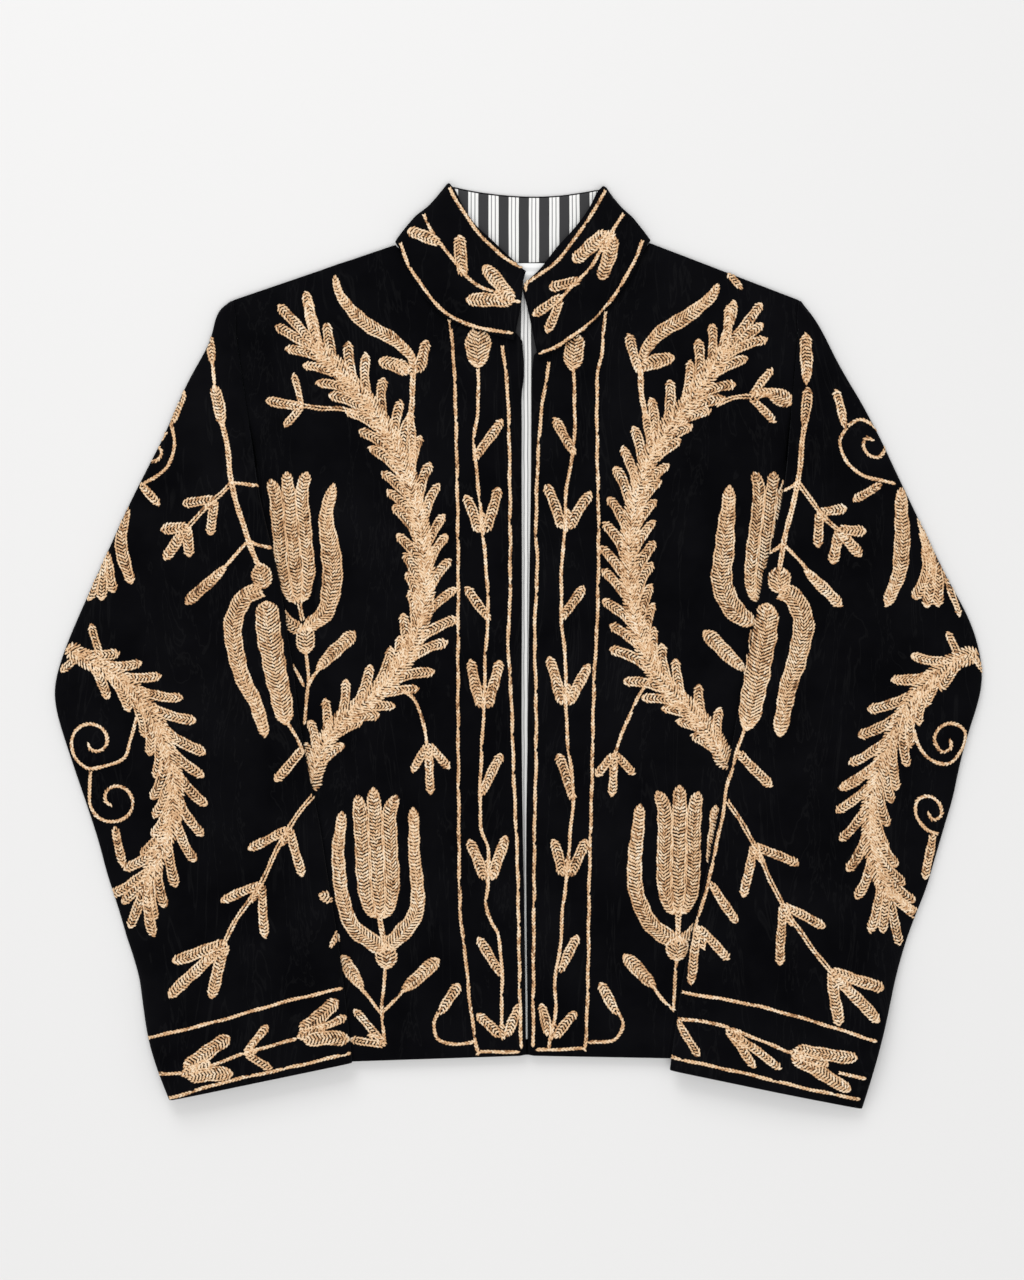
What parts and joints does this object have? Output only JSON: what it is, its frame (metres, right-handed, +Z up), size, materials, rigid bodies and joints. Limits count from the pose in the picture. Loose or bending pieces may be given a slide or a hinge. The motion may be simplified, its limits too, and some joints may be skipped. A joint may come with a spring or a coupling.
{
  "type": "embroidered velvet jacket laid flat",
  "caption": "Hip-length velvet jacket with a stand collar, straight sleeves and a striped lining, laid flat on its back with the sleeves folded over the fronts.",
  "frame": {"origin": "on the surface the jacket lies on, under the middle of the whole jacket's box", "axes": "+Z up from the surface, +Y from the hem towards the collar, +X towards the wearer's left sleeve"},
  "size_m": [0.6985, 0.6946, 0.0168],
  "materials": {
    "velvet": "black cotton velvet, short matte pile",
    "embroidery_thread": "gold-beige silk chain stitch",
    "striped_lining": "black and white striped cotton, plain weave",
    "label_tape": "plain white woven tape"
  },
  "bodies": {
    "root": {"back": "velvet", "back_lining": "striped_lining", "front_right": "velvet", "front_left": "velvet", "sleeve_right": "velvet", "sleeve_left": "velvet", "collar": "velvet", "collar_lining": "striped_lining", "neck_label": "label_tape"}
  },
  "joints": []
}
